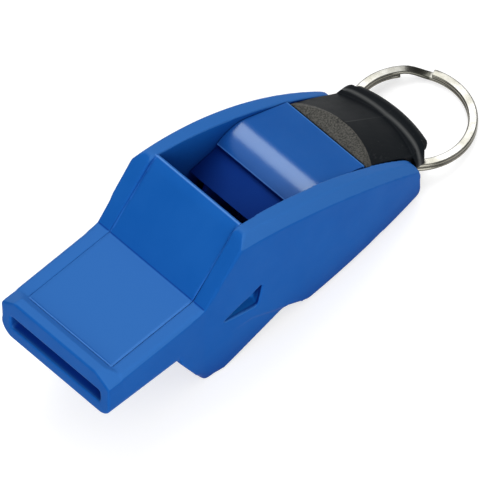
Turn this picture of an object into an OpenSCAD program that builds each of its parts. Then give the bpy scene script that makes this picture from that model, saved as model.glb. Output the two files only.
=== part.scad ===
// Pealess sports whistle with three windways, a cap at its tail and a split ring.
// Sizes in this file run from the front of the mouthpiece (x) and from the deck
// behind its lip (z). The finished whistle then lies down on its chin and belly.

/* [Mouthpiece] */
// Distance of the mouthpiece's sides, and the plates' front ends, in from the greatest width
mouth_inset = 0.55; // [0.4:0.05:0.9]
// Length from the front face to the foot of the slope
mouth_len = 17.75; // [16:0.25:19]
// Depth from the deck down to the underside
mouth_drop = 7.1; // [6.8:0.1:7.6]
// Radius of the lower long corners
mouth_corner_r = 2.2; // [1.5:0.1:2.4]
// Chamfer on the upper long corners
mouth_chamfer = 0.45; // [0.3:0.05:0.8]
// Length of the raised lip along the top
lip_len = 1.5; // [1:0.1:2]
// Height of the lip above the deck
lip_rise = 1.05; // [0.6:0.05:1.4]
// Length of the slope behind the lip
lip_fade = 1.25; // [0.8:0.05:1.6]
// Width of the lip's full height
lip_w = 16; // [15:0.1:17]
// Depth below the deck to which the lip's ends slope down at the sides
lip_end_drop = 0.6; // [0.3:0.05:0.8]
// Thickness of the mouthpiece at the ends of the blowing slot
slot_wall = 1.75; // [1.4:0.05:2]
// Height of the blowing slot
slot_h = 2.5; // [2.2:0.1:2.8]
// Depth of the slot's upper edge below the deck
slot_drop = 2.3; // [2:0.1:2.6]
// Rise of the deck from the lip to the foot of the slope
deck_rise = 0.9; // [0.5:0.1:1.2]

/* [Side plates] */
// Greatest width of the whistle
body_w = 22; // [21.6:0.1:24]
// Distance of the widest place from the front
widest_x = 35.25; // [33:0.25:38]
// Distance that the plates draw in from the greatest width to their rear ends
tail_inset = 1.75; // [1.4:0.05:2]
// Distance of the crest, the front edge of the top window
crest_x = 26.6; // [26:0.1:27.5]
// Height of the crest above the deck
crest_z = 9.95; // [9:0.05:11]
// Angle of the plates' long arc at the crest, below level
back_angle = 11.4; // [10.8:0.1:12]
// Depth below the deck of the middle of the plates' upper rear corners
tail_drop = 8.02; // [7.6:0.02:8.4]
// Length of the plates beside the cap
cap_len = 8.55; // [8:0.05:9]
// Radius of the plates' upper rear corners
tail_r = 5; // [4:0.1:6]
// Radius of the plates' lower rear corners
heel_r = 2.2; // [1.5:0.1:2.6]
// Length of the brow in front of the crest on each plate
brow_len = 1.6; // [1.2:0.1:1.8]
// Radius of the brow
brow_r = 1.9; // [1.75:0.05:3]
// Slope of the outer bevel below level
bevel_angle = 60; // [56:1:64]
// Difference of the bevel's radius along the whistle from that of the long arc
bevel_more = 8; // [6:0.5:10]
// Distance of the bevel's highest place behind that of the long arc
bevel_shift = 9.8; // [9:0.1:11]
// Distance in from the greatest width at which the bevel's height is given
bevel_inset = 2; // [1.6:0.1:2.2]
// Height of the bevel there over the long arc's highest place
bevel_rise = 0.16; // [0:0.02:0.4]
// Depth of the room between the plates in from the greatest width, at the crest
plate_front_t = 2.95; // [2.8:0.05:3.2]
// The same depth at the tail
plate_rear_t = 3.55; // [3.2:0.05:3.7]

/* [Underside] */
// Depth of the chin below the deck
chin_drop = 15; // [14:0.1:16]
// Distance of the chin's front corner from the front
chin_x = 17.9; // [17:0.1:19]
// Length of the flat under the chin
chin_len = 2.7; // [2:0.1:3.5]
// Distance of the root of the chin from the front
chin_root_x = 13.4; // [12.6:0.1:14]
// Depth of the belly at its rear end below the deck
belly_drop = 12.65; // [12.2:0.05:13]
// Distance of the belly's rear end in front of the plates' rear ends
belly_inset = 4.7; // [4:0.1:5.2]
// Distance of the step in front of the belly
step_x = 32.75; // [32:0.05:34]
// Depth of that step's upper corner below the deck
step_drop = 11.1; // [10.8:0.05:11.6]
// Length of the slope down to the belly
step_len = 5; // [4:0.1:6]
// Radius of the belly's lower long edges
belly_r = 1.6; // [1:0.1:1.8]
// Thickness of the floor and the chin
floor_t = 1.5; // [1.2:0.05:1.8]
// Distance of the floor's rear end in front of the plates' rear ends
floor_inset = 3.7; // [3.4:0.1:4.4]
// Depth to which the cheeks below the side windows are trimmed
cheek_trim = 0.3; // [0.2:0.05:0.5]
// Length of the cheek line in front of the step
cheek_len = 6.4; // [5.5:0.1:7]
// Height of the cheek line's front end above the step
cheek_rise = 3.2; // [2.6:0.1:3.4]

/* [Windways] */
// Height of the upper windway
windway_h = 1.25; // [1:0.05:1.5]
// Height of the upper windway's roof above the deck at its exit
windway_exit_z = 1.15; // [0.9:0.05:1.5]
// Distance of the bend in the upper windway
windway_bend_x = 14.5; // [14:0.1:16]
// Depth of the roof of the windway at that bend
windway_bend_drop = 1.1; // [0.9:0.05:1.3]
// Radius of the cover's rounding at the top of the slope
cover_r = 5; // [4:0.1:6]
// Slope of the cover at the crest
cover_angle = 24; // [16:1:32]
// Width of the cover's lip at the top window
cover_lip = 0.35; // [0.2:0.05:0.5]
// Thickness of the splitter between the windways
splitter_t = 0.9; // [0.7:0.05:1.1]
// Distance of the splitter's nose from the front
splitter_x = 6.5; // [5:0.1:8]
// Width of the rails at the sides of the upper windway
rail_w = 0.7; // [0.5:0.05:1]
// Width of each side windway with its inner wall
lane_w = 3.1; // [2.9:0.05:3.5]
// Length of the keel's pointed nose
keel_nose = 4; // [3:0.1:5]

/* [Side windows] */
// Distance of the window's front tip from the front
side_tip_x = 20.55; // [20:0.05:21.5]
// Depth of the tip below the deck
side_tip_drop = 4.55; // [4.2:0.05:4.8]
// Length of the window's upper edge along the whistle
side_upper_len = 6.8; // [6:0.1:7.4]
// Height of the window's upper rear corner above the tip
side_upper_rise = 2.55; // [2:0.05:2.9]
// Length of the window's lower edge along the whistle
side_lower_len = 5.95; // [5.2:0.05:6.6]
// Depth of the window's lower rear corner below the tip
side_lower_fall = 1.4; // [1:0.05:1.7]
// Turn of the window's walls, which leaves its rear edge sharp
side_rake = 24; // [16:1:30]
// Height of the jet guide over the side windway's inner wall
guide_h = 1.1; // [0.8:0.05:1.3]
// Length of the jet guide
guide_len = 8; // [6:0.1:9]
// Thickness of the shelf under the side windway
shelf_t = 1; // [0.8:0.05:1.3]
// Depth of the shelf below the window's lowest corner
shelf_drop = 0.3; // [0.1:0.05:0.6]

/* [Chambers] */
// Length of the top window, from the crest to the labium's edge
window_len = 5.75; // [5.4:0.05:6.2]
// Height of the labium's edge above the deck
labium_z = 1.3; // [1.1:0.05:1.5]
// Length of the labium's ramp
ramp_len = 4.95; // [4.4:0.05:5.4]
// Rise of the ramp
ramp_rise = 1; // [0.7:0.05:1.4]
// Height of the crisp edge between the ramp and the hump
edge_rise = 0.65; // [0.3:0.05:0.8]
// Radius of the round hump behind the ramp
hump_r = 5.4; // [5:0.1:6]
// Length of the hump along the whistle
hump_len = 5.2; // [4.8:0.1:5.6]
// Height of the hump above that edge
hump_h = 1.3; // [1:0.05:1.5]
// Length of the roof behind the hump
roof_len = 7.7; // [7.2:0.1:8]
// Height of the roof's rear edge above the deck
roof_z = 0.9; // [0.7:0.05:1.1]
// Thickness of the roof
roof_t = 1.2; // [1:0.05:1.4]
// Thickness of the walls of the centre chamber
tray_t = 0.75; // [0.6:0.05:0.9]
// Length of the left side chamber behind its window
left_chamber_len = 18; // [14:0.5:21]
// Length of the right side chamber behind its window
right_chamber_len = 15; // [12:0.5:21]

/* [End cap] */
// Gap between the roof and the cap
roof_gap = 0.45; // [0.25:0.05:0.6]
// Height of the cap's crescent above the deck
cap_z = 0.4; // [0.2:0.05:0.6]
// Radius of the crescent's arc
crescent_r = 11.3; // [10.8:0.1:11.8]
// Length of the crescent at its middle
crescent_len = 3.1; // [2.8:0.1:3.4]
// Fall of the cap's top behind the crescent
cap_slope = 36; // [34:0.5:38]
// Radius of the round rim over the ring
rim_r = 2.2; // [2:0.05:2.4]
// Distance that the rim reaches behind the plates
cap_reach = 5; // [4.6:0.1:5.4]
// Depth of the rim's crest below the deck
rim_drop = 4.75; // [4.5:0.05:5]
// Thickness of the rim from its crest to its underside
rim_t = 3.3; // [2.9:0.05:3.4]
// Distance of the rim's ends in from the whistle's greatest width
rim_inset = 2.9; // [2.5:0.05:3.1]
// Radius of the rim's ends seen from above
rim_corner_r = 1.8; // [1.2:0.1:2]
// Distance of the cones' axes from the middle, which leaves a ridge between them
ridge_offset = 0.9; // [0.5:0.05:1.2]
// Thickness of the cap's top
cap_t = 1.4; // [1.1:0.05:1.6]
// Distance of the ring's eye in front of the plates' rear ends
eye_inset = 0.5; // [0.3:0.05:0.8]
// Depth of the eye's middle below the deck
eye_drop = 9.5; // [9.4:0.05:9.7]
// Thickness of the lug under the eye
lug_t = 0.8; // [0.6:0.05:0.9]
// Distance that the lug ends in front of the rim's rearmost place
lug_inset = 0.8; // [0.4:0.1:1.4]
// Width of the lug that the ring goes round
lug_w = 9; // [8.4:0.1:9.4]
// Thickness of the cap's front wall
cap_wall = 1.3; // [1:0.05:1.6]

/* [Split ring] */
// Outer diameter of the split ring
ring_od = 18.1; // [18:0.1:19.6]
// Width of the flat wire across the ring
wire_w = 1.35; // [1.2:0.05:1.4]
// Thickness of the flat wire
wire_t = 0.6; // [0.5:0.02:0.64]
// Gap between the two turns
turn_gap = 0.1; // [0.08:0.01:0.14]
// Chamfer on the wire's corners
wire_chamfer = 0.18; // [0.1:0.01:0.2]
// Angle over which the wire climbs from one turn to the next
climb_angle = 24; // [18:1:36]
// Angle of the climb's middle round the ring
climb_place = 41; // [0:1:180]

/* [Hidden] */

$fn = 96;
shell_blue = [0.13, 0.36, 0.67];
cap_black = [0.09, 0.1, 0.11];
steel = [0.75, 0.76, 0.75];

// One overrun for every cut
over = 1;
// Depth under the faces of the belly at which its rounding starts
round_lead = 0.06;
// Gap between pieces that are joined inside the shell
fit_gap = 0.05;
// Gap at the seams that show
seam = 0.12;
// Running gap between the ring and its eye
eye_clear = 0.15;
// Height of the ring's lowest place above the table
rest_gap = 0.02;
// Steps along a curve
curve_steps = 24;
corner_steps = 8;
// Steps along one turn of the ring
turn_steps = 72;
// Degrees in one turn
full_turn = 360;
// Share of the climb angle left free at each end of the wire
wire_end_share = 0.16;

// Places along the whistle, one behind the other
labium_x = crest_x + window_len;
ramp_end_x = labium_x + ramp_len;
hump_end_x = ramp_end_x + hump_len;
roof_x = hump_end_x + roof_len;
cap_x = roof_x + roof_gap;
tail_x = cap_x + cap_len;
belly_x = tail_x - belly_inset;
floor_end_x = tail_x - floor_inset;
cap_tail_x = tail_x + cap_reach;
eye_x = tail_x - eye_inset;

// The table's line under the chin and the belly
pitch = atan((chin_drop - belly_drop) / (belly_x - chin_x));
function table_z(x) = -chin_drop + (x - chin_x) * tan(pitch);

// Points of an arc round (x, z), which can leave out its first point
function arc(x, z, r, from, to, steps, first = 0) =
    [for (i = [first:steps]) let (a = from + (to - from) * i / steps) [x + r * cos(a), z + r * sin(a)]];

// Mouthpiece
mouth_w = body_w - 2 * mouth_inset;
slot_w = mouth_w - 2 * slot_wall;
deck_x = lip_len + lip_fade;
deck_angle = atan(deck_rise / (mouth_len - deck_x));
slot_floor = -slot_drop - slot_h;

// Flanks seen from above, as two arcs that meet at the widest place
flank_rear_r = pow(tail_x - widest_x, 2) / (2 * tail_inset) + tail_inset / 2;
flank_front_r = pow(widest_x - mouth_len, 2) / (2 * mouth_inset) + mouth_inset / 2;

// Half width between the plates, which draw in to the tail
half_front = body_w / 2 - plate_front_t;
half_rear = body_w / 2 - plate_rear_t;
function inner_half(x) =
    half_front + (half_rear - half_front) * max(0, x - crest_x) / (tail_x - crest_x);

// Top line of the plates: a long arc from the crest, tangent to the rear corner's arc
tail_cx = tail_x - tail_r;
tail_cz = -tail_drop;
tail_run = [crest_x - tail_cx, crest_z - tail_cz];
back_r = (tail_run * tail_run - pow(tail_r, 2))
         / (2 * (tail_run * [sin(back_angle), cos(back_angle)] - tail_r));
back_cx = crest_x - back_r * sin(back_angle);
back_cz = crest_z - back_r * cos(back_angle);
tail_angle = atan2(tail_cz - back_cz, tail_cx - back_cx);
heel_cx = tail_x - heel_r;
heel_cz = table_z(heel_cx) + heel_r / cos(pitch);

// The brow in front of the crest, as an arc that ends along the long arc
brow_from = 90 - back_angle;
brow_cx = crest_x - brow_r * cos(brow_from);
brow_cz = crest_z - brow_r * sin(brow_from);
brow_to = acos((crest_x - brow_len - brow_cx) / brow_r);

// Outer bevel
bevel_r = back_r + bevel_more;
bevel_x = back_cx + bevel_shift;
bevel_z = back_cz + back_r + bevel_rise;

// The cover's slope and the arc at its top
cover_cx = crest_x + cover_r * sin(cover_angle);
cover_cz = crest_z - cover_r * cos(cover_angle);
slope_run = [cover_cx - mouth_len, cover_cz - deck_rise];
slope_angle = atan2(slope_run[1], slope_run[0]) + asin(cover_r / norm(slope_run));

// Inner face of the chin's front wall, a depth t behind its outer face
chin_run = (chin_x - chin_root_x) / (chin_drop - mouth_drop);
chin_cos = cos(atan(chin_run));
function chin_wall_x(z, t) = chin_root_x - (mouth_drop + z) * chin_run + t / chin_cos;

// Windway lines: the roof over the air, the floor under it and the splitter's underside
function windway_roof(x) =
    x < windway_bend_x
    ? -slot_drop + (slot_drop - windway_bend_drop) * (x - deck_x) / (windway_bend_x - deck_x)
    : -windway_bend_drop + (windway_exit_z + windway_bend_drop)
      * (x - windway_bend_x) / (crest_x - windway_bend_x);
function windway_floor(x) = windway_roof(x) - windway_h;
function splitter_under(x) = windway_floor(x) - splitter_t;

// Places along the roof of the centre chamber
ramp_end_z = labium_z + ramp_rise;
edge_z = ramp_end_z + edge_rise;
hump_cz = edge_z + hump_h - hump_r;
hump_cx = ramp_end_x + sqrt(pow(hump_r, 2) - pow(edge_z - hump_cz, 2));
hump_end_z = hump_cz + sqrt(pow(hump_r, 2) - pow(hump_end_x - hump_cx, 2));
hump_from = atan2(edge_z - hump_cz, ramp_end_x - hump_cx);
hump_to = atan2(hump_end_z - hump_cz, hump_end_x - hump_cx);
function labium_under(x) =
    labium_z + (ramp_end_z - roof_t - labium_z) * (x - labium_x) / ramp_len;

// Keel, tray walls and the lanes beside them
keel_half = half_front - lane_w;
core_half = half_front - fit_gap;
tray_in = keel_half + fit_gap;
tray_half = tray_in + tray_t;
lane_in = tray_half + fit_gap;
tray_end_x = cap_x - fit_gap;

// End cap
cone_x = cap_x + crescent_len - crescent_r;
rim_cr = cap_tail_x - rim_r - cone_x;
rim_cz = -rim_drop - rim_r;
rim_under = -rim_drop - rim_t;
cone_end_z = cap_z - (rim_cr - crescent_r) * tan(cap_slope);
lug_half = lug_w / 2;
rim_w = body_w - 2 * rim_inset;
lug_tail_x = cap_tail_x - lug_inset;

// Split ring and its eye
ring_r = (ring_od - wire_w) / 2;
ring_in_r = ring_r - wire_w / 2;
ring_h = 2 * wire_t + turn_gap;
wire_reach = ring_r - sqrt(pow(ring_in_r, 2) - pow(lug_half, 2));
eye_seat = (wire_reach - wire_w / 2) / 2;
eye_r = norm([(wire_reach + wire_w / 2) / 2, ring_h / 2]) + eye_clear;
eye_z = -eye_drop;
lug_under = eye_z - eye_r - lug_t;

// Places on the whistle as it lies on the table
table_lift = chin_drop + chin_x * tan(pitch);
function lying_x(x, z) = x * cos(pitch) + (z + table_lift) * sin(pitch);
function lying_z(x, z) = (z + table_lift) * cos(pitch) - x * sin(pitch);
eye_lying_x = lying_x(eye_x, eye_z);
eye_lying_z = lying_z(eye_x, eye_z);
ring_reach = 2 * ring_r + wire_w / 2 - eye_seat;
ring_droop = asin((eye_lying_z - rest_gap) / norm([ring_reach, ring_h / 2]))
             - atan(ring_h / 2 / ring_reach);
ring_tail_x = eye_lying_x + ring_reach * cos(ring_droop) + ring_h / 2 * sin(ring_droop);
front_x = lying_x(0, -mouth_drop + mouth_corner_r);
middle_x = (front_x + ring_tail_x) / 2;

module lie_down()
    translate([-middle_x, 0, 0])
        rotate([0, pitch, 0])
            translate([0, 0, table_lift])
                children();

// A side outline made as wide as w, across the whistle
module across(w)
    rotate([90, 0, 0])
        linear_extrude(w, center = true)
            children();

// The room between the plates, from x = from to x = to, less a gap at each side
module between_plates(from, to, gap) {
    stations = from < crest_x && to > crest_x ? [from, crest_x, to] : [from, to];
    translate([0, 0, -chin_drop - over])
        linear_extrude(chin_drop + crest_z + 2 * over)
            polygon(concat(
                [for (x = stations) [x, gap - inner_half(x)]],
                [for (i = [len(stations) - 1:-1:0]) [stations[i], inner_half(stations[i]) - gap]]
            ));
}

// Side outline of the room inside the shell, drawn in by gap from its floor. The
// last points close it at the tail: end is where the floor stops.
module room_outline(gap, top, end)
    polygon([
        [deck_x, top], [deck_x, slot_floor + gap],
        [chin_wall_x(slot_floor, floor_t + gap), slot_floor + gap],
        [chin_wall_x(floor_t + gap - chin_drop, floor_t + gap), floor_t + gap - chin_drop],
        [chin_x + chin_len, table_z(chin_x + chin_len) + floor_t + gap],
        [step_x, floor_t + gap - step_drop],
        [step_x + step_len, table_z(step_x + step_len) + floor_t + gap],
        [end, table_z(end) + floor_t + gap], [end, -chin_drop - over],
        [tail_x + over, -chin_drop - over], [tail_x + over, top]
    ]);

// The mouthpiece seen from the front
module mouth_section() {
    translate([-mouth_w / 2, mouth_corner_r - mouth_drop])
        square([mouth_w, mouth_drop + lip_rise - mouth_corner_r]);
    translate([mouth_corner_r - mouth_w / 2, -mouth_drop])
        square([mouth_w - 2 * mouth_corner_r, 2 * mouth_corner_r]);
    for (s = [-1, 1])
        translate([s * (mouth_w / 2 - mouth_corner_r), mouth_corner_r - mouth_drop])
            circle(mouth_corner_r);
}

module mouthpiece()
    difference() {
        intersection() {
            rotate([90, 0, 90])
                linear_extrude(mouth_len)
                    mouth_section();
            across(body_w)
                polygon([
                    [0, -mouth_drop], [0, lip_rise], [lip_len, lip_rise], [deck_x, 0],
                    [mouth_len, deck_rise], [mouth_len, -mouth_drop]
                ]);
        }
        for (s = [-1, 1])
            translate([0, s * mouth_w / 2, -tan(deck_angle) * deck_x])
                rotate([0, -deck_angle, 0])
                    rotate([45, 0, 0])
                        cube([2 * mouth_len + 2 * over, sqrt(2) * mouth_chamfer, sqrt(2) * mouth_chamfer],
                             center = true);
        for (s = [0, 1])
            mirror([0, s, 0])
                translate([-over, 0, 0])
                    rotate([90, 0, 90])
                        linear_extrude(deck_x + over)
                            polygon([
                                [lip_w / 2, lip_rise], [mouth_w / 2, -lip_end_drop],
                                [mouth_w / 2 + over, -lip_end_drop],
                                [mouth_w / 2 + over, lip_rise + over], [lip_w / 2, lip_rise + over]
                            ]);
    }

// Both plates with the chin and belly between them, before they are hollowed
module plates_outline()
    polygon(concat(
        [
            [mouth_len, deck_rise], [chin_root_x, 0], [chin_root_x, -mouth_drop],
            [chin_x, -chin_drop], [chin_x + chin_len, table_z(chin_x + chin_len)],
            [step_x, -step_drop], [step_x + step_len, table_z(step_x + step_len)]
        ],
        arc(heel_cx, heel_cz, heel_r, pitch - 90, 0, corner_steps),
        arc(tail_cx, tail_cz, tail_r, 0, tail_angle, corner_steps),
        arc(back_cx, back_cz, back_r, tail_angle, brow_from, curve_steps, 1),
        arc(brow_cx, brow_cz, brow_r, brow_from, brow_to, corner_steps, 1)
    ));

// The plates seen from above, up to the flank of one side
module flank_side() {
    translate([0, -body_w])
        square([mouth_len, body_w + mouth_w / 2]);
    intersection() {
        translate([widest_x, body_w / 2 - flank_front_r])
            circle(flank_front_r, $fn = 4 * $fn);
        translate([mouth_len, -body_w])
            square([widest_x - mouth_len, 2 * body_w]);
    }
    intersection() {
        translate([widest_x, body_w / 2 - flank_rear_r])
            circle(flank_rear_r, $fn = 4 * $fn);
        translate([widest_x, -body_w])
            square([tail_x + over - widest_x, 2 * body_w]);
    }
}

// What the rounding of the belly's long edge takes off one side
module belly_round(side)
    intersection() {
        translate([widest_x, side * (body_w / 2 - flank_rear_r), table_z(widest_x)])
            rotate([0, -pitch, 0])
                rotate_extrude($fn = 4 * $fn)
                    translate([flank_rear_r - belly_r, 0])
                        difference() {
                            translate([0, -over])
                                square([belly_r + over, belly_r + over]);
                            translate([round_lead, belly_r - round_lead])
                                circle(belly_r);
                        }
        translate([step_x, side > 0 ? 0 : -body_w, -2 * chin_drop])
            cube([tail_x, body_w, 2 * chin_drop]);
    }

// What the outer bevel takes off one plate
module bevel_cut(side)
    mirror([0, side < 0 ? 1 : 0, 0])
        difference() {
            translate([mouth_len, half_rear / 2, -chin_drop])
                cube([tail_x, body_w, 2 * chin_drop]);
            translate([bevel_x, body_w / 2 - bevel_inset, bevel_z])
                rotate([-bevel_angle, 0, 0])
                    translate([0, 0, -bevel_r])
                        rotate([90, 0, 0])
                            cylinder(h = 4 * body_w, r = bevel_r, center = true, $fn = 2 * $fn);
        }

module side_window(side)
    translate([side_tip_x, side * body_w / 2, -side_tip_drop])
        rotate([0, 0, side * side_rake])
            across(2 * (body_w / 2 - half_rear) + 2 * over)
                polygon([
                    [0, 0], [side_upper_len, side_upper_rise], [side_lower_len, -side_lower_fall]
                ]);

// The cheek in front of the step is trimmed flat up to the cheek line
module cheek_cut(side)
    translate([0, side * (body_w - cheek_trim), 0])
        across(body_w)
            polygon([
                [step_x, -step_drop], [step_x - cheek_len, cheek_rise - step_drop],
                [chin_root_x, -mouth_drop], [chin_root_x, -chin_drop - over],
                [step_x, -chin_drop - over]
            ]);

module body()
    color(shell_blue)
        lie_down()
            difference() {
                union() {
                    mouthpiece();
                    intersection() {
                        across(body_w)
                            plates_outline();
                        translate([0, 0, -2 * chin_drop])
                            linear_extrude(4 * chin_drop)
                                intersection() {
                                    flank_side();
                                    mirror([0, 1])
                                        flank_side();
                                }
                    }
                }
                for (s = [-1, 1]) {
                    bevel_cut(s);
                    belly_round(s);
                    side_window(s);
                    cheek_cut(s);
                }
                intersection() {
                    across(body_w)
                        room_outline(0, crest_z + over, floor_end_x);
                    between_plates(deck_x, tail_x + over, 0);
                }
                translate([-over, -slot_w / 2, slot_floor])
                    cube([deck_x + 2 * over, slot_w, slot_h]);
            }

// Flush cover over the upper windway: deck, slope and front wall of the top window
module mouth_cover()
    color(shell_blue)
        lie_down()
            intersection() {
                across(body_w)
                    polygon(concat(
                        [[deck_x + seam, -slot_drop], [deck_x + seam, 0], [mouth_len, deck_rise]],
                        arc(cover_cx, cover_cz, cover_r, 90 + slope_angle, 90 + cover_angle, corner_steps),
                        [
                            [crest_x + cover_lip, crest_z - cover_lip],
                            [crest_x + cover_lip, windway_roof(crest_x + cover_lip)],
                            [windway_bend_x, -windway_bend_drop]
                        ]
                    ));
                between_plates(deck_x, crest_x + cover_lip + over, seam);
            }

// Splitter with its rails and the keel that parts the two side windways
module windway_core()
    color(shell_blue)
        lie_down() {
            across(2 * core_half)
                polygon([
                    [splitter_x, windway_floor(splitter_x)],
                    [windway_bend_x, windway_floor(windway_bend_x)],
                    [crest_x, windway_floor(crest_x)], [crest_x, splitter_under(crest_x)],
                    [windway_bend_x, splitter_under(windway_bend_x)]
                ]);
            for (s = [-1, 1])
                translate([0, s * (core_half - rail_w / 2), 0])
                    across(rail_w)
                        polygon([
                            [splitter_x + windway_h, windway_roof(splitter_x + windway_h) - fit_gap],
                            [windway_bend_x, windway_roof(windway_bend_x) - fit_gap],
                            [crest_x, windway_roof(crest_x) - fit_gap],
                            [crest_x, splitter_under(crest_x) + splitter_t / 2],
                            [windway_bend_x, splitter_under(windway_bend_x) + splitter_t / 2],
                            [splitter_x + windway_h, windway_floor(splitter_x + windway_h)]
                        ]);
            intersection() {
                across(2 * keel_half)
                    polygon([
                        [splitter_x, slot_floor + fit_gap],
                        [splitter_x, windway_floor(splitter_x)],
                        [windway_bend_x, splitter_under(windway_bend_x) + splitter_t / 2],
                        [crest_x, splitter_under(crest_x) + splitter_t / 2],
                        [crest_x, slot_floor + fit_gap]
                    ]);
                translate([0, 0, -chin_drop])
                    linear_extrude(2 * chin_drop)
                        polygon([
                            [splitter_x + splitter_t, 0],
                            [splitter_x + splitter_t + keel_nose, keel_half],
                            [crest_x, keel_half], [crest_x, -keel_half],
                            [splitter_x + splitter_t + keel_nose, -keel_half]
                        ]);
            }
        }

// Underside of the roof over the chambers, and the line that the walls below it follow
function roof_under() = [
    [ramp_end_x, ramp_end_z - roof_t], [hump_end_x, hump_end_z - roof_t], [roof_x, roof_z - roof_t]
];
module under_roof_outline()
    polygon(concat(
        [
            [roof_x, -chin_drop], [windway_bend_x - splitter_t, -chin_drop],
            [windway_bend_x - splitter_t, splitter_under(windway_bend_x) - fit_gap],
            [windway_bend_x, splitter_under(windway_bend_x) - fit_gap],
            [crest_x, splitter_under(crest_x) - fit_gap],
            [labium_x, splitter_under(crest_x) - fit_gap],
            [labium_x + roof_t, labium_under(labium_x + roof_t) - fit_gap]
        ],
        [for (p = roof_under()) [p[0], p[1] - fit_gap]],
        [[tray_end_x, roof_z - roof_t - fit_gap], [tray_end_x, -chin_drop]]
    ));

// Rib that closes a side chamber
module chamber_end(side, len)
    intersection() {
        translate([side_tip_x + side_upper_len + len, side < 0 ? -body_w / 2 : tray_in, -chin_drop])
            cube([tray_t, body_w / 2 - tray_in, 2 * chin_drop]);
        between_plates(crest_x, tail_x, fit_gap);
    }

// Trough of the centre chamber, with the ribs that end the side chambers
module chamber_tray()
    color(shell_blue)
        lie_down()
            intersection() {
                difference() {
                    union() {
                        across(2 * tray_half)
                            room_outline(fit_gap, crest_z, tail_x);
                        intersection() {
                            across(body_w)
                                room_outline(fit_gap, crest_z, tail_x);
                            union() {
                                chamber_end(1, left_chamber_len);
                                chamber_end(-1, right_chamber_len);
                            }
                        }
                    }
                    intersection() {
                        across(2 * tray_in)
                            room_outline(fit_gap + tray_t, crest_z + over, tail_x);
                        translate([0, -tray_in, -chin_drop])
                            cube([tray_end_x - tray_t, 2 * tray_in, 2 * chin_drop]);
                    }
                    translate([0, -tray_in, slot_floor])
                        cube([crest_x, 2 * tray_in, chin_drop]);
                }
                across(body_w)
                    under_roof_outline();
            }

// Labium, hump and roof over the chambers, in one piece
module chamber_roof()
    color(shell_blue)
        lie_down()
            intersection() {
                across(body_w)
                    polygon(concat(
                        [[labium_x, labium_z], [ramp_end_x, ramp_end_z]],
                        arc(hump_cx, hump_cz, hump_r, hump_from, hump_to, curve_steps),
                        [[roof_x, roof_z]],
                        [for (i = [2:-1:0]) roof_under()[i]]
                    ));
                between_plates(labium_x, roof_x, seam);
            }

// Shelf, leg and jet guide of one side windway, seen through its window
module side_insert(side) {
    start_x = chin_wall_x(slot_floor, floor_t + fit_gap);
    shelf_z = -side_tip_drop - side_lower_fall - shelf_drop;
    guide_end = side_tip_x + side_upper_rise;
    mirror([0, side < 0 ? 1 : 0, 0])
        intersection() {
            union() {
                translate([start_x, lane_in, shelf_z - shelf_t])
                    cube([crest_x - start_x, half_front, shelf_t]);
                translate([start_x, lane_in, -chin_drop])
                    cube([side_tip_x - start_x, half_front, chin_drop + shelf_z]);
                translate([0, 0, shelf_z - shelf_t])
                    linear_extrude(chin_drop)
                        polygon([
                            [guide_end - guide_len, lane_in], [guide_end, lane_in + guide_h],
                            [guide_end + shelf_t, lane_in + guide_h], [crest_x, lane_in]
                        ]);
            }
            across(body_w)
                room_outline(fit_gap, crest_z, tail_x);
            across(body_w)
                under_roof_outline();
            between_plates(deck_x, crest_x + over, fit_gap);
        }
}

module side_insert_left()
    color(shell_blue)
        lie_down()
            side_insert(1);

module side_insert_right()
    color(shell_blue)
        lie_down()
            side_insert(-1);

// Top of the cap: a flat crescent and two cones that meet in a ridge, with a round rim
module cap_dome(drop) {
    intersection_for (s = [-1, 1])
        translate([cone_x, s * ridge_offset, 0])
            rotate_extrude($fn = 2 * $fn)
                polygon([
                    [0, -chin_drop], [0, cap_z - drop], [crescent_r, cap_z - drop],
                    [rim_cr, cone_end_z - drop], [rim_cr, -chin_drop]
                ]);
    if (drop == 0)
        translate([cone_x, 0, 0])
            rotate_extrude($fn = 2 * $fn)
                translate([rim_cr, rim_cz])
                    circle(rim_r);
}

// The rim seen from behind, with round ends
module rim_section()
    intersection() {
        union() {
            translate([rim_r - rim_w / 2, rim_under])
                square([rim_w - 2 * rim_r, chin_drop]);
            for (s = [-1, 1])
                translate([s * (rim_w / 2 - rim_r), rim_cz])
                    circle(rim_r);
        }
        translate([-rim_w / 2, rim_under])
            square([rim_w, chin_drop]);
    }

// The rim seen from above
module rim_plan() {
    corner_x = cap_tail_x - rim_r - rim_corner_r;
    translate([tail_x + seam, -rim_w / 2])
        square([corner_x - tail_x - seam, rim_w]);
    translate([corner_x, rim_corner_r - rim_w / 2])
        square([cap_reach, rim_w - 2 * rim_corner_r]);
    for (s = [-1, 1])
        translate([corner_x, s * (rim_w / 2 - rim_corner_r)])
            circle(rim_corner_r);
}

// The cap is hollow at both sides of its lug
module cap_hollow(side) {
    hollow_end_x = tail_x - rim_r;
    intersection() {
        translate([cap_x + cap_wall, side < 0 ? -body_w : lug_half, -2 * chin_drop])
            cube([tail_x, body_w - lug_half, 4 * chin_drop]);
        union() {
            intersection() {
                cap_dome(cap_t);
                translate([cap_x, -body_w, -chin_drop])
                    cube([hollow_end_x - cap_x, 2 * body_w, 2 * chin_drop]);
            }
            translate([hollow_end_x, -body_w, rim_under - chin_drop])
                cube([tail_x, 2 * body_w, chin_drop]);
        }
    }
}

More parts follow.
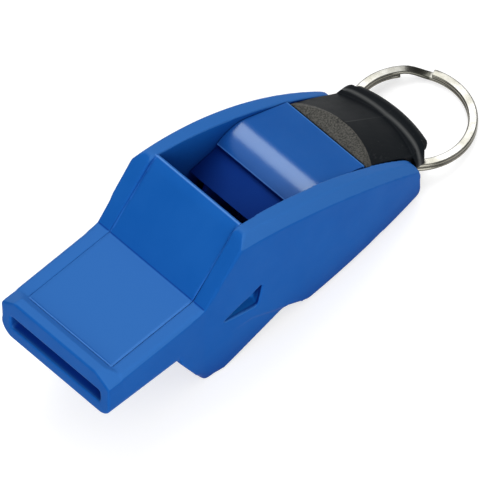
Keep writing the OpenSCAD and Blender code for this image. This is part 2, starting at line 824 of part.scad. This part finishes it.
module end_cap()
    color(cap_black)
        lie_down()
            difference() {
                intersection() {
                    cap_dome(0);
                    union() {
                        intersection() {
                            between_plates(cap_x, tail_x + over, seam);
                            across(body_w)
                                polygon([
                                    [cap_x, crest_z], [cap_x, table_z(cap_x) + floor_t + fit_gap],
                                    [floor_end_x, table_z(floor_end_x) + floor_t + fit_gap],
                                    [eye_x, lug_under], [tail_x + over, lug_under],
                                    [tail_x + over, crest_z]
                                ]);
                        }
                        intersection() {
                            translate([tail_x + seam, 0, 0])
                                rotate([90, 0, 90])
                                    linear_extrude(cap_reach)
                                        rim_section();
                            translate([0, 0, -chin_drop])
                                linear_extrude(chin_drop)
                                    rim_plan();
                        }
                        translate([tail_x, -lug_half, lug_under])
                            cube([lug_tail_x - tail_x, lug_w, chin_drop]);
                    }
                }
                cap_hollow(1);
                cap_hollow(-1);
                translate([eye_x, 0, eye_z])
                    rotate([90, 0, 0])
                        cylinder(h = body_w, r = eye_r, center = true);
            }

// Two turns of flat wire in one length, which climbs once from the lower to the upper turn
lift = wire_t + turn_gap;
wire_start = climb_angle / 2 + climb_angle * wire_end_share;
wire_end = 2 * full_turn - wire_start;
wire_rings = floor((wire_end - wire_start) / full_turn * turn_steps);

function smooth(u) = u <= 0 ? 0 : u >= 1 ? 1 : u * u * (3 - 2 * u);
function turn_z(a) = lift * (smooth((a - full_turn) / climb_angle + 1 / 2) - 1 / 2);
function wire_section() =
    let (w = wire_w / 2, t = wire_t / 2, c = wire_chamfer)
    [[-w, c - t], [c - w, -t], [w - c, -t], [w, c - t], [w, t - c], [w - c, t], [c - w, t], [-w, t - c]];
function wire_points() = [
    for (i = [0:wire_rings])
        let (a = wire_start + (wire_end - wire_start) * i / wire_rings)
        for (p = wire_section())
            [(ring_r + p[0]) * cos(a), (ring_r + p[0]) * sin(a), turn_z(a) + p[1]]
];
function wire_faces(n) = concat(
    [[for (j = [n - 1:-1:0]) j]],
    [for (i = [0:wire_rings - 1], j = [0:n - 1])
        [i * n + j, (i + 1) * n + (j + 1) % n, (i + 1) * n + j]],
    [for (i = [0:wire_rings - 1], j = [0:n - 1])
        [i * n + j, i * n + (j + 1) % n, (i + 1) * n + (j + 1) % n]],
    [[for (j = [0:n - 1]) wire_rings * n + j]]
);

module split_ring()
    color(steel)
        translate([eye_lying_x - middle_x, 0, eye_lying_z])
            rotate([0, ring_droop, 0])
                translate([ring_r - eye_seat, 0, 0])
                    rotate([0, 0, climb_place])
                        polyhedron(wire_points(), wire_faces(len(wire_section())), convexity = 6);

body();
mouth_cover();
windway_core();
chamber_tray();
chamber_roof();
side_insert_left();
side_insert_right();
end_cap();
split_ring();
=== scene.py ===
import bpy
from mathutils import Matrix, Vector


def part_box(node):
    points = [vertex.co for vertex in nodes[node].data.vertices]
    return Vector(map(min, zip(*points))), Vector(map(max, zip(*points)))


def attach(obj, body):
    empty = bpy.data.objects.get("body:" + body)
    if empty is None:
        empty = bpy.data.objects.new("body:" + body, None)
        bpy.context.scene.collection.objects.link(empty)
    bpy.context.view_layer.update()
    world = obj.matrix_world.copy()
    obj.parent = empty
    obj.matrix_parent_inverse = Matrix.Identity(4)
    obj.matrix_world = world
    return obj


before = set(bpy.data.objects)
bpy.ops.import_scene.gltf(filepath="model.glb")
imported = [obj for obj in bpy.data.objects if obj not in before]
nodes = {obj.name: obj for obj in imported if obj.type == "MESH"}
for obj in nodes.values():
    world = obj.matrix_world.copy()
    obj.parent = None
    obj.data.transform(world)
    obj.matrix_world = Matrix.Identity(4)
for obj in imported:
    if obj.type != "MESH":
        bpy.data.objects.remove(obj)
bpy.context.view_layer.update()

import math

import bmesh
import bpy
from mathutils import Matrix, Vector

MM = 0.001

# In mm, on the whistle lying level, x runs back from the front of its mouthpiece and z up from its
# deck. On the table it is pitched by PITCH, and START_X and START_Z lead from there to those places.
PITCH = math.radians(3.67378)
COS, SIN = math.cos(PITCH), math.sin(PITCH)
START_X, START_Z = 38.182, 16.149

# Places on the level whistle
DECK_X, DECK_Y = 2.75, 7.93                  # front edge and half width of the cover's deck
FOOT_X = 17.75                               # foot of the slope behind the deck
WINDOW_X, WINDOW_Y = 26.6, 8.1               # front edge and half width of the sound window
CREST_X = 37.3                               # sharp edge between the ramp and the hump
CONE_X, RIDGE_OFFSET = 42.45, 0.9            # axis of the cap's cones, and how far apart the two lie
CRESCENT_R, RIM_R = 11.3, 19.55              # edge of the level crescent, and the round rim

# The painted bounce light inside the side windows and the blowing slot: where it starts, is full, starts
# to fade and ends, along and above, and their half widths
POCKET_X, POCKET_Z, POCKET_Y = (19.3, 19.6, 27.6, 28.0), (-6.5, -6.2, -1.0, -0.5), 10.2
SLOT_X, SLOT_Z, SLOT_Y = (0.3, 0.8, 12.0, 13.0), (-5.8, -5.5, -1.9, -1.7), 8.3

# Places on the table, in mm
CHIN_X, CHIN_Z = -20.245, 0.0                # lower front edge of the chin
RAMP_END_X = 0.27                            # top of the ramp behind the labium

# Colours
BLUE = (0.006, 0.082, 0.335)
BLUE_LIGHT = (0.008, 0.090, 0.352)
BLUE_TINT = (0.55, 0.78, 1.0)                # faint gloss of the satin faces
PAINTED_SHADE = (0.004, 0.024, 0.19)                  # painted shade in recesses and creases, for light that has bounced from blue to blue
TOP_SHEEN = (0.026, 0.125, 0.395)             # painted sheen on faces turned up
# Painted highlights: pale lines on the window's front edge, the roof's crest and rear edge, and the cover's
# seam
WINDOW_EDGE_HIGHLIGHT = (0.10, 0.26, 0.62)
CREST_HIGHLIGHT = (0.05, 0.17, 0.50)
ROOF_EDGE_HIGHLIGHT = (0.05, 0.19, 0.52)
SIDE_SEAM_HIGHLIGHT = (0.040, 0.155, 0.45)
FRONT_SEAM_HIGHLIGHT = (0.060, 0.20, 0.54)
# Painted bounce light in the side windows and the slot
SIDE_POCKET = (0.008, 0.12, 0.42)
BLOWING_SLOT = (0.003, 0.032, 0.26)
# Grit on the cap's crescent, painted pale as a sheen too
GRIT_SHEEN_DARK, GRIT_SHEEN_PALE = (0.026, 0.027, 0.026), (0.098, 0.095, 0.085)
# Painted highlights on the cap's rim and ridge
RIM_HIGHLIGHT = (0.085, 0.088, 0.088)
RIDGE_HIGHLIGHT = (0.055, 0.057, 0.057)
NICKEL, NICKEL_DARK = (0.35, 0.345, 0.325), (0.20, 0.195, 0.175)
# Painted reflections on the ring's wire
NICKEL_FLANK_REFLECTION = (0.20, 0.185, 0.14)
NICKEL_REFLECTION_BANDS = (0.19, 0.185, 0.155)
NICKEL_DARK_REFLECTION = (0.055, 0.055, 0.045)


def make_camera():
    """A long lens, so nearly parallel lines, aimed as the photograph's."""
    right = Vector((0.7221, -0.6903, -0.0464)).normalized()
    up = Vector((0.5870, 0.5752, 0.5701))
    back = right.cross(up).normalized()
    up = back.cross(right)
    aim = Vector((-3.508, 0.0, 5.731)) * MM
    width_seen = 64.69 * MM
    data = bpy.data.cameras.new("camera")
    data.sensor_width = 36.0
    data.lens = 1500.0
    data.clip_start = 0.05
    data.clip_end = 50.0
    camera = bpy.data.objects.new("camera", data)
    bpy.context.scene.collection.objects.link(camera)
    turn = Matrix((right, up, back)).transposed().to_4x4()
    distance = width_seen * data.lens / data.sensor_width
    camera.matrix_world = Matrix.Translation(aim + back * distance) @ turn
    bpy.context.scene.camera = camera


class Tree:
    """A node tree, with short names for the nodes that it uses most."""

    def __init__(self, tree):
        self.nodes = tree.nodes
        self.links = tree.links

    def put(self, socket, value):
        """Link a socket to another one, or give it a number or a colour."""
        if isinstance(value, bpy.types.NodeSocket):
            self.links.new(value, socket)
        elif socket.type == "RGBA":
            socket.default_value = (*value, 1.0)
        else:
            socket.default_value = value

    def add(self, kind, inputs=None, **settings):
        node = self.nodes.new(kind)
        for key, value in settings.items():
            setattr(node, key, value)
        for key, value in (inputs or {}).items():
            self.put(node.inputs[key], value)
        return node

    def maths(self, kind, a, b=0.0):
        return self.add("ShaderNodeMath", {0: a, 1: b}, operation=kind).outputs["Value"]

    def times(self, first, *others):
        for other in others:
            first = self.maths("MULTIPLY", first, other)
        return first

    def length(self, x, y):
        """The distance from zero in two directions."""
        squares = [self.maths("POWER", side, 2.0) for side in (x, y)]
        return self.maths("SQRT", self.maths("ADD", *squares))

    def apart(self, a, b):
        """The distance between two numbers."""
        return self.maths("ABSOLUTE", self.maths("SUBTRACT", a, b))

    def vector(self, kind, a, b=(0.0, 0.0, 0.0), **more):
        return self.add("ShaderNodeVectorMath", {0: a, 1: b, **more}, operation=kind).outputs["Vector"]

    def dot(self, a, b):
        return self.add("ShaderNodeVectorMath", {0: a, 1: b}, operation="DOT_PRODUCT").outputs["Value"]

    def split(self, vector):
        """The x, y and z of a vector."""
        return tuple(self.add("ShaderNodeSeparateXYZ", {"Vector": vector}).outputs)

    def join(self, x, y, z=0.0):
        return self.add("ShaderNodeCombineXYZ", {"X": x, "Y": y, "Z": z}).outputs["Vector"]

    def ramp(self, value, low, high, to_low, to_high, **settings):
        """A number that goes from to_low to to_high while value goes from low to high."""
        return self.add("ShaderNodeMapRange", {
            "Value": value, "From Min": low, "From Max": high, "To Min": to_low, "To Max": to_high,
        }, **settings).outputs["Result"]

    def rise(self, value, low, high, most=1.0):
        return self.ramp(value, low, high, 0.0, most)

    def fall(self, value, low, high, most=1.0):
        return self.ramp(value, low, high, most, 0.0)

    def span(self, value, start, full, fade, end):
        """1 from full to fade, and 0 before start and past end."""
        return self.times(self.rise(value, start, full), self.fall(value, fade, end))

    def mix(self, share, a, b):
        """Colour a, with this share of colour b over it."""
        node = self.add("ShaderNodeMix", data_type="RGBA")
        for index, value in ((0, share), (6, a), (7, b)):
            self.put(node.inputs[index], value)
        return node.outputs[2]

    def noise(self, where, scale, detail, rough):
        return self.add("ShaderNodeTexNoise", {
            "Vector": where, "Scale": scale, "Detail": detail, "Roughness": rough,
        }).outputs["Fac"]


class Finish(Tree):
    """A new material and its Principled shader."""

    def __init__(self, name):
        self.material = bpy.data.materials.new(name)
        self.material.use_nodes = True
        super().__init__(self.material.node_tree)
        self.shader = self.nodes["Principled BSDF"]

    def set(self, **values):
        """Give sockets of the shader their values; a socket's name has _ for each space."""
        for name, value in values.items():
            self.put(self.shader.inputs[name.replace("_", " ")], value)

    def place(self):
        return self.add("ShaderNodeTexCoord").outputs["Object"]

    def normal(self):
        return self.add("ShaderNodeTexCoord").outputs["Normal"]

    def bump(self, height, strength, distance, under=None):
        inputs = {"Height": height, "Strength": strength, "Distance": distance}
        if under:
            inputs["Normal"] = under
        return self.add("ShaderNodeBump", inputs).outputs["Normal"]


def plastic(name, colour, light, recess_shade, rough, gloss, tint=BLUE_TINT, edge_wear_and_glint=0.0, edge_from=0.57,
            grain=9000.0, grain_depth=0.006, marks=None):
    """Moulded plastic: faint cloudiness, a fine spark-eroded grain, slow sink ripples, rubbed edges that
    are also painted paler as edge highlights, and painted shade in recesses. grain_depth is in mm, and
    marks paints what only this piece has."""
    t = Finish(name)
    place = t.place()
    cloud = t.noise(place, scale=140.0, detail=3.0, rough=0.55)
    flow = t.noise(place, scale=420.0, detail=4.0, rough=0.6)
    fine = t.noise(place, scale=grain, detail=2.0, rough=0.6)
    base = t.mix(t.rise(cloud, 0.35, 0.65), colour, light)
    # Rubbed edges, also painted paler as edge highlights
    if edge_wear_and_glint:
        edge = t.add("ShaderNodeNewGeometry").outputs["Pointiness"]
        lightened = [min(1.0, 1.5 * c + 0.02) for c in light]
        base = t.mix(t.rise(edge, edge_from, edge_from + 0.09, most=edge_wear_and_glint), base, lightened)
    # Painted shade: a darker colour where the surface is hollowed in
    hollow = t.add("ShaderNodeAmbientOcclusion", {"Distance": 9.0 * MM}, samples=8).outputs["AO"]
    base = t.mix(t.fall(hollow, 0.25, 0.8), base, recess_shade)
    if marks:
        base = marks(t, place, base, hollow)
    sink = t.bump(cloud, strength=0.12, distance=0.12 * MM)
    t.set(Base_Color=base, Roughness=t.ramp(flow, 0.3, 0.7, 0.92 * rough, 1.1 * rough),
          Normal=t.bump(fine, strength=0.35, distance=grain_depth * MM, under=sink),
          Specular_IOR_Level=gloss, Specular_Tint=tint)
    return t.material


def level_place(t, place):
    """Places along the level whistle, across it and above its deck, in mm."""
    shifted = t.vector("ADD", place, (START_X * MM, 0.0, 0.0))
    in_mm = t.vector("SCALE", shifted, Scale=1.0 / MM)
    along = t.dot(in_mm, (COS, 0.0, -SIN))
    across = t.split(in_mm)[1]
    above = t.maths("SUBTRACT", t.dot(in_mm, (SIN, 0.0, COS)), START_Z)
    return along, across, above


def level_x(point):
    """How far behind the mouthpiece's front a point of a mesh lies on the level whistle, in mm."""
    return COS * (point.x / MM + START_X) - SIN * point.z / MM


def roof_marks(t, place, base, hollow):
    """The sharp edge behind the ramp and the edge next to the cap get painted highlights: pale lines."""
    x = level_place(t, place)[0]
    base = t.mix(t.fall(t.apart(x, CREST_X + 0.06), 0.03, 0.12, most=0.7), base, CREST_HIGHLIGHT)
    end_x = max(level_x(v.co) for v in nodes["chamber_roof"].data.vertices)
    return t.mix(t.rise(x, end_x - 0.24, end_x - 0.12, most=0.7), base, ROOF_EDGE_HIGHLIGHT)


def shell_marks(t, place, base, hollow):
    """Faces turned up get a painted sheen, and edges, seams and recesses get painted highlights, shade and
    bounce light.
    """
    x, across, z = level_place(t, place)
    y = t.maths("ABSOLUTE", across)

    # Painted sheen: paler where it looks up, and a little to the side or back, and lies open
    back, side, up = t.split(t.normal())
    side = t.maths("ABSOLUTE", side)
    turned = t.maths("ADD", t.maths("ADD", up, t.times(side, 0.6)), t.times(back, 0.35))
    lightened = t.times(t.rise(turned, 0.84, 0.96), t.rise(up, 0.15, 0.35), t.rise(hollow, 0.45, 0.75))
    base = t.mix(lightened, base, TOP_SHEEN)

    # Painted shade in the crease at the foot of the slope
    foot = t.times(t.fall(t.apart(x, FOOT_X), 0.04, 0.11, most=0.7), t.rise(z, -0.6, -0.4),
                   t.fall(side, 0.3, 0.6))
    base = t.mix(foot, base, PAINTED_SHADE)

    # Painted highlight along the front edge of the sound window
    window_glint = t.times(t.fall(t.apart(x, WINDOW_X - 0.12), 0.02, 0.16, most=0.8), t.rise(z, 9.3, 9.6),
                  t.fall(y, WINDOW_Y, WINDOW_Y + 0.3))
    base = t.mix(window_glint, base, WINDOW_EDGE_HIGHLIGHT)

    # Painted highlight along the cover's seam, pale along its front and one side
    on_deck = t.rise(z, -0.7, -0.5)
    side_glint = t.times(t.fall(t.apart(across, -DECK_Y - 0.04), 0.14, 0.30),
                        t.span(x, DECK_X, DECK_X + 0.2, FOOT_X - 0.75, FOOT_X - 0.25))
    base = t.mix(t.times(side_glint, on_deck), base, SIDE_SEAM_HIGHLIGHT)
    front_glint = t.times(t.fall(t.apart(x, DECK_X + 0.06), 0.08, 0.20),
                         t.fall(y, DECK_Y - 0.03, DECK_Y + 0.17))
    base = t.mix(t.times(front_glint, on_deck), base, FRONT_SEAM_HIGHLIGHT)

    # Painted bounce light: set tones for the light that bounces about in the side windows and the slot
    pocket = t.times(t.span(x, *POCKET_X), t.span(z, *POCKET_Z), t.fall(y, POCKET_Y, POCKET_Y + 0.2))
    base = t.mix(pocket, base, SIDE_POCKET)
    slot = t.times(t.span(x, *SLOT_X), t.span(z, *SLOT_Z), t.fall(y, SLOT_Y, SLOT_Y + 0.2))
    return t.mix(slot, base, BLOWING_SLOT)


def cap_marks(t, place, base, hollow):
    """The cap's rim and ridge get painted highlights in grey, and the level crescent before its dome is
    gritty and painted pale as a sheen.
    """
    x, y, z = level_place(t, place)
    y = t.maths("ABSOLUTE", y)
    away = t.length(t.maths("SUBTRACT", x, CONE_X), t.maths("SUBTRACT", y, RIDGE_OFFSET))
    # Painted highlights: a grey band inside the rim and a pale line along the ridge
    base = t.mix(t.fall(t.apart(away, RIM_R - 0.45), 0.0, 0.4, most=0.85), base, RIM_HIGHLIGHT)
    ridge = t.times(t.fall(y, 0.03, 0.12, most=0.5), t.ramp(away, 12.0, RIM_R - 1.5, 1.0, 0.25))
    base = t.mix(ridge, base, RIDGE_HIGHLIGHT)
    # The crescent is gritty, and painted pale as a sheen
    grains = t.noise(place, scale=3800.0, detail=4.0, rough=0.75)
    grit_and_sheen = t.mix(t.rise(grains, 0.36, 0.62), GRIT_SHEEN_DARK, GRIT_SHEEN_PALE)
    return t.mix(t.fall(away, CRESCENT_R - 0.12, CRESCENT_R), base, grit_and_sheen)


def plated_wire(name, colour, dark, rough):
    """Bright plated wire of the ring: drawn streaks along the turns, tarnish, and painted reflections: dark
    flanks, darker shades round the ring and one dark stretch."""
    low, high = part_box("split_ring")
    faces_up = [f for f in nodes["split_ring"].data.polygons if f.normal.z > 0.5]
    axis = sum((f.normal * f.area for f in faces_up), Vector((0.0, 0.0, 0.0))).normalized()

    t = Finish(name)
    place = t.place()
    x, y, z = t.split(t.vector("SUBTRACT", place, tuple((low + high) / 2)))
    radius = t.length(x, y)
    angle = t.maths("ARCTAN2", y, x)

    haze = t.noise(place, scale=500.0, detail=3.0, rough=0.6)
    base = t.mix(t.rise(haze, 0.38, 0.70, most=0.8), colour, dark)
    # Painted reflections: dark flanks, darker bands round the ring and one dark stretch
    facing = t.maths("ABSOLUTE", t.dot(t.normal(), tuple(axis)))
    base = t.mix(t.fall(facing, 0.35, 0.8, most=0.9), base, NICKEL_FLANK_REFLECTION)
    reflection_bands = t.noise(t.join(t.times(angle, 0.011), radius), scale=140.0, detail=2.0, rough=0.5)
    base = t.mix(t.rise(reflection_bands, 0.46, 0.58, most=0.85), base, NICKEL_REFLECTION_BANDS)
    dark_reflection = t.times(t.rise(angle, 0.46, 0.50), t.fall(angle, 0.72, 1.55, most=0.95))
    base = t.mix(dark_reflection, base, NICKEL_DARK_REFLECTION)

    streak = t.noise(t.join(t.times(angle, 0.0012), radius, z), scale=9000.0, detail=3.0, rough=0.6)
    t.set(Base_Color=base, Roughness=t.ramp(streak, 0.3, 0.7, rough - 0.03, rough + 0.09),
          Normal=t.bump(streak, strength=0.25, distance=0.004 * MM), Metallic=1.0)
    return t.material


def dress(name, material, voxel=0.0, rounds=0):
    """Give a CAD node its material. With a voxel size, in mm, its edges are softened as a mould does: a
    fine even mesh, then relaxed for some rounds."""
    o = nodes[name]
    o.data.materials.clear()
    o.data.materials.append(material)
    weld = o.modifiers.new("weld", "WELD")
    weld.merge_threshold = 0.002 * MM
    if voxel:
        fine = o.modifiers.new("fine", "REMESH")
        fine.mode = "VOXEL"
        fine.voxel_size = voxel * MM
        fine.use_smooth_shade = True
        soft = o.modifiers.new("soft_edges", "SMOOTH")
        soft.factor = 0.5
        soft.iterations = rounds
    return o


def smooth_faces(o):
    for face in o.data.polygons:
        face.use_smooth = True


def keep_crisp(o):
    """Round faces are smooth and edges stay sharp."""
    smooth_faces(o)
    split = o.modifiers.new("crisp_edges", "EDGE_SPLIT")
    split.split_angle = math.radians(16)


def darken_ramp(o, material):
    """The ramp that rises to the hump has a material of its own: painted shade, a darker blue in the well.
    """
    o.data.materials.append(material)
    for face in o.data.polygons:
        if face.center.x < RAMP_END_X * MM:
            face.material_index = 1


def bevel_wire(o):
    """The flat wire has small round corners."""
    smooth_faces(o)
    soft = o.modifiers.new("soft_edges", "BEVEL")
    soft.width = 0.07 * MM
    soft.segments = 2
    soft.limit_method = "ANGLE"
    soft.angle_limit = math.radians(30)
    o.modifiers.new("normals", "WEIGHTED_NORMAL")


def round_chin(o):
    """The chin's lower front edge is broadly rounded: the even mesh is relaxed for more rounds near it,
    in full up to one distance and not at all past another."""
    full, reach, rounds = 0.4, 3.4, 28
    group = bpy.data.node_groups.new("round_chin", "GeometryNodeTree")
    for way in ("INPUT", "OUTPUT"):
        group.interface.new_socket("Geometry", in_out=way, socket_type="NodeSocketGeometry")
    t = Tree(group)
    place = t.add("GeometryNodeInputPosition").outputs[0]
    x, y, z = t.split(place)
    away = t.length(t.maths("SUBTRACT", x, CHIN_X * MM), t.maths("SUBTRACT", z, CHIN_Z * MM))
    near = t.ramp(away, full * MM, reach * MM, 1.0, 0.0, interpolation_type="SMOOTHSTEP")
    blur = t.add("GeometryNodeBlurAttribute", {"Iterations": rounds, "Weight": near},
                 data_type="FLOAT_VECTOR")
    t.put(next(k for k in blur.inputs if k.type == "VECTOR"), place)
    blurred = next(k for k in blur.outputs if k.type == "VECTOR")
    mesh = t.add("NodeGroupInput").outputs[0]
    moved = t.add("GeometryNodeSetPosition", {"Geometry": mesh, "Position": blurred}).outputs["Geometry"]
    t.add("NodeGroupOutput", {0: moved})
    o.modifiers.new("round_chin", "NODES").node_group = group


def weld_bead(material):
    """The cover is welded in: a bead of its own plastic lies just below the surface in the gap round it.
    It is the cover's own form, reaching further to the sides and in front, and lower."""
    side, front, drop, front_depth = 0.15 * MM, 0.11 * MM, 0.04 * MM, 0.2 * MM
    low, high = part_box("mouth_cover")
    wider = 1.0 + 2.0 * side / (high.y - low.y)
    mesh = bpy.data.meshes.new("cover_weld_bead")
    work = bmesh.new()
    work.from_mesh(nodes["mouth_cover"].data)
    for v in work.verts:
        reach = front if v.co.x < low.x + front_depth else 0.0
        v.co = Vector((v.co.x - reach, v.co.y * wider, v.co.z - drop))
    work.to_mesh(mesh)
    work.free()
    mesh.materials.clear()
    mesh.materials.append(material)
    bead = bpy.data.objects.new("cover_weld_bead", mesh)
    bpy.context.scene.collection.objects.link(bead)
    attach(bead, "whistle")


def make_floor():
    """Pale paper just under the whistle. What the camera or a mirror sees of it glows enough to be white,
    and the whistle is lit by the plain paper."""
    side, level = 6.0, -0.02 * MM
    plain, seen_plain, dark, glow = [(grey, grey, grey) for grey in (0.7, 0.60, 0.0, 0.55)]
    t = Finish("floor_paper")
    paths = t.add("ShaderNodeLightPath").outputs
    seen = t.maths("MAXIMUM", paths["Is Camera Ray"], paths["Is Glossy Ray"])
    seen = t.maths("MAXIMUM", seen, paths["Is Transmission Ray"])
    t.set(Base_Color=t.mix(seen, plain, seen_plain), Emission_Color=t.mix(seen, dark, glow),
          Emission_Strength=1.0, Roughness=0.9, Specular_IOR_Level=0.0)
    mesh = bpy.data.meshes.new("floor")
    corners = [(x * side, y * side, level) for x, y in ((-1, -1), (1, -1), (1, 1), (-1, 1))]
    mesh.from_pydata(corners, [], [(0, 1, 2, 3)])
    mesh.materials.append(t.material)
    floor = bpy.data.objects.new("floor", mesh)
    bpy.context.scene.collection.objects.link(floor)


def make_lamp(name, towards, distance, size, power):
    data = bpy.data.lights.new(name, "AREA")
    data.shape = "DISK"
    data.size = size
    data.energy = power
    o = bpy.data.objects.new(name, data)
    direction = Vector(towards).normalized()
    o.location = direction * distance
    o.rotation_euler = direction.to_track_quat("Z", "Y").to_euler()
    bpy.context.scene.collection.objects.link(o)


def make_world():
    """A pale dome with a thin bright horizon, and three dark flags round it for the metal to show."""
    world = bpy.data.worlds.new("studio")
    bpy.context.scene.world = world
    world.use_nodes = True
    t = Tree(world.node_tree)
    x, y, height = t.split(t.add("ShaderNodeTexCoord").outputs["Generated"])
    angle = t.maths("ARCTAN2", y, x)
    wave = t.maths("SINE", t.maths("ADD", t.times(angle, 3.0), 0.6))
    flags = t.times(t.rise(wave, 0.0, 0.35), t.fall(height, 0.35, 0.75, most=0.8))
    dome = t.times(t.ramp(height, 0.0, 0.9, 0.25, 0.66), t.maths("SUBTRACT", 1.0, flags))
    horizon = t.fall(t.maths("ABSOLUTE", height), 0.025, 0.045)
    background = t.nodes["Background"]
    t.put(background.inputs["Strength"], t.maths("MAXIMUM", dome, horizon))
    t.put(background.inputs["Color"], (1.0, 1.0, 1.0))


make_camera()

shell = plastic("shell_plastic", BLUE, BLUE_LIGHT, PAINTED_SHADE, rough=0.42, gloss=0.02, edge_wear_and_glint=0.45,
                edge_from=0.535, marks=shell_marks)
inner = plastic("inner_plastic", BLUE, BLUE_LIGHT, (0.004, 0.016, 0.22), rough=0.40, gloss=0.08,
                edge_wear_and_glint=0.2)
# The side inserts' paler blue is painted bounce light in the side windows
insert = plastic("insert_plastic", (0.02, 0.20, 0.62), (0.025, 0.21, 0.64), (0.018, 0.18, 0.58),
                 rough=0.40, gloss=0.08, edge_wear_and_glint=0.6)
roof = plastic("roof_plastic", BLUE, BLUE_LIGHT, (0.006, 0.060, 0.28), rough=0.23, gloss=0.7,
               tint=(0.78, 0.92, 1.0), grain_depth=0.004, marks=roof_marks)
# Painted shade: the ramp in the well is a darker blue
ramp = plastic("ramp_shade_plastic", (0.003, 0.028, 0.19), (0.004, 0.032, 0.205), (0.001, 0.008, 0.10),
               rough=0.45, gloss=0.02)
black = plastic("cap_plastic", (0.007, 0.009, 0.011), (0.009, 0.0105, 0.0125), (0.003, 0.0035, 0.004),
                rough=0.40, gloss=0.02, tint=(1.0, 1.0, 1.0), edge_wear_and_glint=0.3, grain=5200.0, grain_depth=0.02,
                marks=cap_marks)
nickel = plated_wire("ring_nickel", NICKEL, NICKEL_DARK, rough=0.17)

weld_bead(shell)
dress("body", shell, voxel=0.2, rounds=5)
round_chin(nodes["body"])
dress("mouth_cover", shell, voxel=0.13, rounds=3)
dress("windway_core", inner, voxel=0.2, rounds=2)
dress("chamber_tray", inner, voxel=0.2, rounds=2)
dress("side_insert_left", insert, voxel=0.14, rounds=2)
dress("side_insert_right", insert, voxel=0.14, rounds=2)
dress("end_cap", black, voxel=0.11, rounds=5)
keep_crisp(dress("chamber_roof", roof))
darken_ramp(nodes["chamber_roof"], ramp)
bevel_wire(dress("split_ring", nickel))

make_floor()
make_world()
make_lamp("key", towards=(0.38, 0.44, 0.81), distance=0.6, size=0.46, power=2.0)
make_lamp("left", towards=(-0.85, -0.20, 0.50), distance=0.8, size=0.8, power=1.8)
make_lamp("fill", towards=(-0.45, -0.80, 0.40), distance=0.8, size=0.7, power=4.2)
bpy.context.scene.view_settings.view_transform = "Standard"
